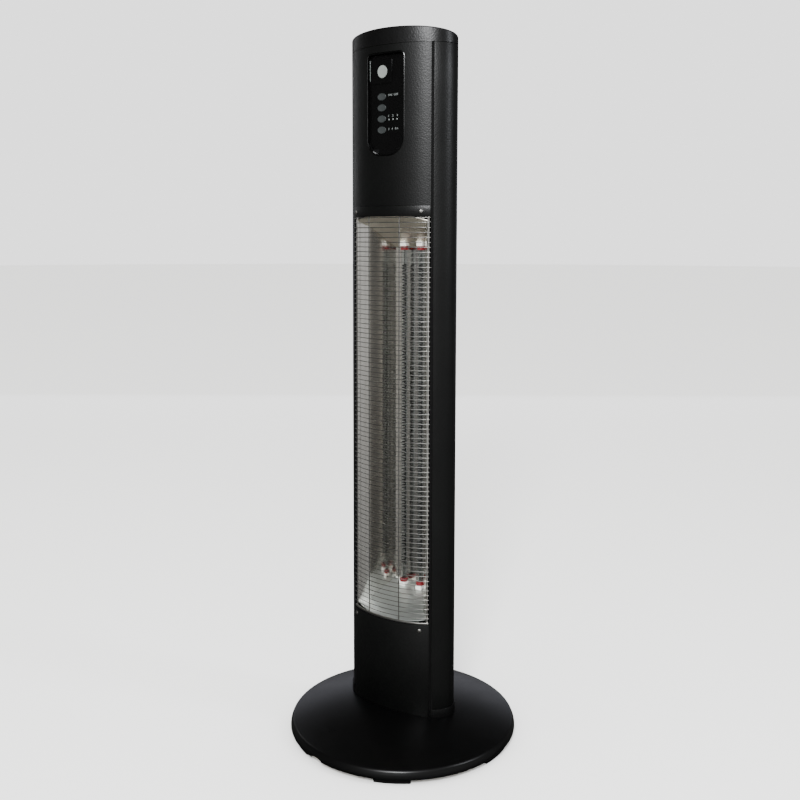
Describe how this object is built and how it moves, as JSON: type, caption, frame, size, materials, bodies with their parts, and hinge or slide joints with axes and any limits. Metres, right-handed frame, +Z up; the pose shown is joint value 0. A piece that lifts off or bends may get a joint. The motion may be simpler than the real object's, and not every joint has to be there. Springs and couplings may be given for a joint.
{
  "type": "infrared patio heater tower",
  "caption": "Tall oval black tower heater on a round domed base, with quartz lamps behind a curved wire guard and a recessed key panel.",
  "frame": {"origin": "on the floor, under the middle of the round base", "axes": "+Z up the column; the guard and keys face -Y; +X is to the right when the front is seen from outside"},
  "size_m": [0.4, 0.4, 1.216],
  "materials": {
    "textured_black": "hammered black powder coat",
    "satin_black": "smooth satin black",
    "black_plastic": "fine matt black",
    "gloss_black": "high gloss black",
    "chrome": "bright chrome plate",
    "polished_aluminium": "bright rolled sheet",
    "zinc": "zinc plate",
    "quartz": "clear quartz tube",
    "carbon": "matt carbon",
    "white_ceramic": "unglazed white ceramic",
    "red_silicone": "matt red silicone",
    "silver_key": "silver white",
    "grey_key": "mid grey",
    "pale_light": "pale diffuser",
    "green_board": "green solder mask",
    "black_rubber": "matt black rubber",
    "cast_concrete": "plain cast concrete"
  },
  "bodies": {
    "heater": {"rear_housing": "textured_black", "lower_front_panel": "textured_black", "upper_front_panel": "textured_black", "top_trim": "textured_black", "base_cover": "satin_black", "top_cap": "black_plastic", "foot_collar": "black_plastic", "control_panel": "gloss_black", "sensor_window": "gloss_black", "guard": "chrome", "panel_screw_upper_right": "chrome", "panel_screw_upper_left": "chrome", "panel_screw_lower_right": "chrome", "panel_screw_lower_left": "chrome", "reflector": "polished_aluminium", "lower_end_plate": "polished_aluminium", "upper_end_plate": "polished_aluminium", "column_foot": "zinc", "upper_bulkhead": "zinc", "lower_lamp_bracket": "zinc", "upper_lamp_bracket": "zinc", "thermal_cutout": "zinc", "tilt_frame": "zinc", "foot_bolt_1": "zinc", "foot_bolt_2": "zinc", "foot_bolt_3": "zinc", "foot_bolt_4": "zinc", "rear_screw_foot_right": "zinc", "rear_screw_foot_left": "zinc", "rear_screw_top_right": "zinc", "rear_screw_top_left": "zinc", "lamp_tube_left": "quartz", "lamp_tube_right": "quartz", "heater_core_left": "carbon", "heater_core_right": "carbon", "lower_ceramic_left": "white_ceramic", "lower_ceramic_right": "white_ceramic", "upper_ceramic_left": "white_ceramic", "upper_ceramic_right": "white_ceramic", "lower_seal_left": "red_silicone", "lower_seal_right": "red_silicone", "upper_seal_left": "red_silicone", "upper_seal_right": "red_silicone", "light_bar": "pale_light", "control_board": "green_board", "power_board": "green_board", "foot_pad_1": "black_rubber", "foot_pad_2": "black_rubber", "foot_pad_3": "black_rubber", "foot_pad_4": "black_rubber", "foot_pad_5": "black_rubber", "foot_pad_6": "black_rubber", "cable_inlet": "black_rubber", "base_weight": "cast_concrete"},
    "round_key_body": {"round_key": "silver_key"},
    "oval_key_1_body": {"oval_key_1": "grey_key"},
    "oval_key_2_body": {"oval_key_2": "grey_key"},
    "oval_key_3_body": {"oval_key_3": "grey_key"},
    "oval_key_4_body": {"oval_key_4": "grey_key"},
    "tilt_pendulum_body": {"tilt_pendulum": "zinc"}
  },
  "joints": [
    {"name": "round_key_press", "type": "slide", "parent": "heater", "child": "round_key_body", "axis": [0, 1, 0], "range_m": [0, 0.001], "stiffness_N_per_m": 400, "springref_m": -0.001},
    {"name": "oval_key_1_press", "type": "slide", "parent": "heater", "child": "oval_key_1_body", "axis": [0, 1, 0], "range_m": [0, 0.001], "stiffness_N_per_m": 400, "springref_m": -0.001},
    {"name": "oval_key_2_press", "type": "slide", "parent": "heater", "child": "oval_key_2_body", "axis": [0, 1, 0], "range_m": [0, 0.001], "stiffness_N_per_m": 400, "springref_m": -0.001},
    {"name": "oval_key_3_press", "type": "slide", "parent": "heater", "child": "oval_key_3_body", "axis": [0, 1, 0], "range_m": [0, 0.001], "stiffness_N_per_m": 400, "springref_m": -0.001},
    {"name": "oval_key_4_press", "type": "slide", "parent": "heater", "child": "oval_key_4_body", "axis": [0, 1, 0], "range_m": [0, 0.001], "stiffness_N_per_m": 400, "springref_m": -0.001},
    {"name": "tilt_swing", "type": "hinge", "parent": "heater", "child": "tilt_pendulum_body", "pos_m": [0.02, -0.008, 0.0886], "axis": [0, 1, 0], "range_deg": [-20, 20]}
  ]
}
